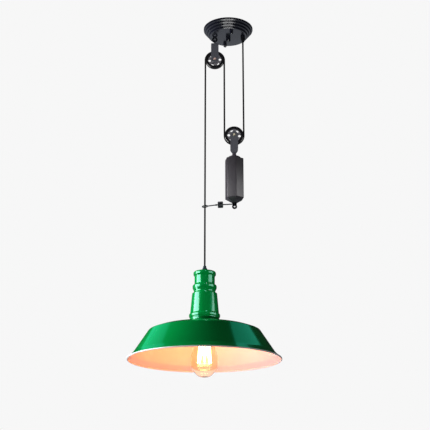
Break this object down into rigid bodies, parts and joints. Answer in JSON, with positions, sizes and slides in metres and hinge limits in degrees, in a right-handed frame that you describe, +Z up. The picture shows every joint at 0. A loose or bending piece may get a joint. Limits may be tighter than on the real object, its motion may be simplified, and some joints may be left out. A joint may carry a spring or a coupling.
{
  "type": "rise and fall pendant",
  "caption": "Ceiling pendant with a green spun shade on one flex, raised and lowered over two pierced wheels and balanced by a hexagonal weight with a guide arm.",
  "frame": {"origin": "centre of the canopy's ceiling screws, on the ceiling", "axes": "+Z up to the ceiling, +X from the lamp towards the flex's anchor, -Y to the viewer"},
  "size_m": [0.3622, 0.3622, 0.9045],
  "materials": {
    "black_enamel": "gloss",
    "zinc_steel": "satin",
    "terminal_plastic": "matte",
    "brass": "satin",
    "black_steel": "gloss",
    "grip_plastic": "satin",
    "lamp_grip_plastic": "satin",
    "cord_sheath": "matte",
    "grey_enamel_steel": "satin",
    "copper_rivet": "satin",
    "brass_rivet": "satin",
    "wheel_metal": "satin",
    "weight_paint": "satin",
    "rod_steel": "satin",
    "knurled_black": "satin",
    "green_enamel": "gloss",
    "bakelite": "gloss",
    "porcelain": "gloss",
    "amber_glass": "gloss",
    "cap_metal": "satin",
    "contact_insulator": "gloss",
    "stem_glass": "gloss",
    "filament": "matte"
  },
  "bodies": {
    "ceiling_mount": {"ceiling_bracket": "zinc_steel", "canopy_shell": "black_enamel", "canopy_screws": "zinc_steel", "canopy_cap_nuts": "black_enamel", "centre_stud": "zinc_steel", "centre_lock_nut": "zinc_steel", "centre_cap_nut": "black_enamel", "terminal_block": "terminal_plastic", "terminal_screws": "brass", "earth_screw": "brass", "hanging_eye": "black_steel", "eye_nut": "zinc_steel", "canopy_cord_grip": "grip_plastic", "cord_grip_nut": "grip_plastic", "canopy_grip_screw": "zinc_steel", "cord_tail": "cord_sheath", "upper_hook": "black_steel", "hook_nut": "zinc_steel", "upper_yoke": "grey_enamel_steel", "upper_axle": "copper_rivet", "upper_spacers": "zinc_steel", "cord_over_upper_wheel": "cord_sheath", "cord_run_anchor": "cord_sheath", "cord_run_middle": "cord_sheath", "cord_run_lamp": "cord_sheath"},
    "upper_sheave": {"upper_wheel": "wheel_metal", "upper_bush": "brass"},
    "travelling_block": {"lower_yoke": "grey_enamel_steel", "lower_axle": "brass_rivet", "lower_spacers": "zinc_steel", "cord_under_lower_wheel": "cord_sheath", "centre_rod": "zinc_steel", "weight_eye": "black_steel"},
    "lower_sheave": {"lower_wheel": "wheel_metal", "lower_bush": "brass"},
    "counterweight": {"counterweight": "weight_paint", "weight_cap": "weight_paint"},
    "guide_arm": {"guide_collar": "grey_enamel_steel", "guide_rod": "rod_steel"},
    "guide_reach": {"guide_eye_rod": "rod_steel"},
    "adjuster": {"adjuster_barrel": "knurled_black"},
    "lamp": {"lamp_cord_grip": "lamp_grip_plastic", "lamp_grip_screw": "zinc_steel", "lamp_cord_tail": "cord_sheath", "neck_cover": "green_enamel", "neck_nipple": "zinc_steel", "nipple_nuts": "zinc_steel", "holder_cap": "bakelite", "holder_body": "bakelite", "shade_ring": "bakelite", "holder_core": "porcelain", "holder_shell": "brass", "centre_contact": "brass", "shade": "green_enamel"},
    "bulb": {"bulb_glass": "amber_glass", "bulb_cap": "cap_metal", "bulb_contact": "contact_insulator", "bulb_stem": "stem_glass", "bulb_filaments": "filament"}
  },
  "joints": [
    {"name": "lamp_height", "type": "slide", "parent": "ceiling_mount", "child": "lamp", "axis": [0, 0, 1], "range_m": [-0.27, 0.09], "deforming": ["cord_run_lamp"]},
    {"name": "weight_height", "type": "slide", "parent": "ceiling_mount", "child": "travelling_block", "axis": [0, 0, 1], "range_m": [-0.046, 0.136], "deforming": ["cord_run_anchor", "cord_run_middle"]},
    {"name": "upper_wheel_spin", "type": "hinge", "parent": "ceiling_mount", "child": "upper_sheave", "pos_m": [-0.0347, 0, -0.08895], "axis": [0, 1, 0], "range_deg": [-650, 220]},
    {"name": "lower_wheel_spin", "type": "hinge", "parent": "travelling_block", "child": "lower_sheave", "pos_m": [0.0137, 0, -0.299], "axis": [0, 1, 0], "range_deg": [-110, 325]},
    {"name": "weight_swivel", "type": "hinge", "parent": "travelling_block", "child": "counterweight", "pos_m": [0.0137, 0, -0.41], "axis": [0, 0, 1], "continuous": true},
    {"name": "guide_swing", "type": "hinge", "parent": "travelling_block", "child": "guide_arm", "pos_m": [0.0137, 0, -0.48], "axis": [0, 0, 1], "range_deg": [-1.5, 1.5]},
    {"name": "guide_slide", "type": "slide", "parent": "guide_arm", "child": "guide_reach", "axis": [-0.9986, 0, -0.0523], "range_m": [-0.0015, 0.0015]},
    {"name": "adjuster_turn", "type": "hinge", "parent": "guide_arm", "child": "adjuster", "pos_m": [-0.02095, 0, -0.48182], "axis": [-0.9986, 0, -0.0523], "range_deg": [-180, 180]},
    {"name": "bulb_out", "type": "slide", "parent": "lamp", "child": "bulb", "axis": [0, 0, -1], "range_m": [0, 0.15]}
  ],
  "couplings": [
    {"joint": "weight_height", "follows": "lamp_height", "ratio": -0.5},
    {"joint": "upper_wheel_spin", "follows": "lamp_height", "rad_per_m": 41.322},
    {"joint": "lower_wheel_spin", "follows": "lamp_height", "rad_per_m": -20.661}
  ]
}
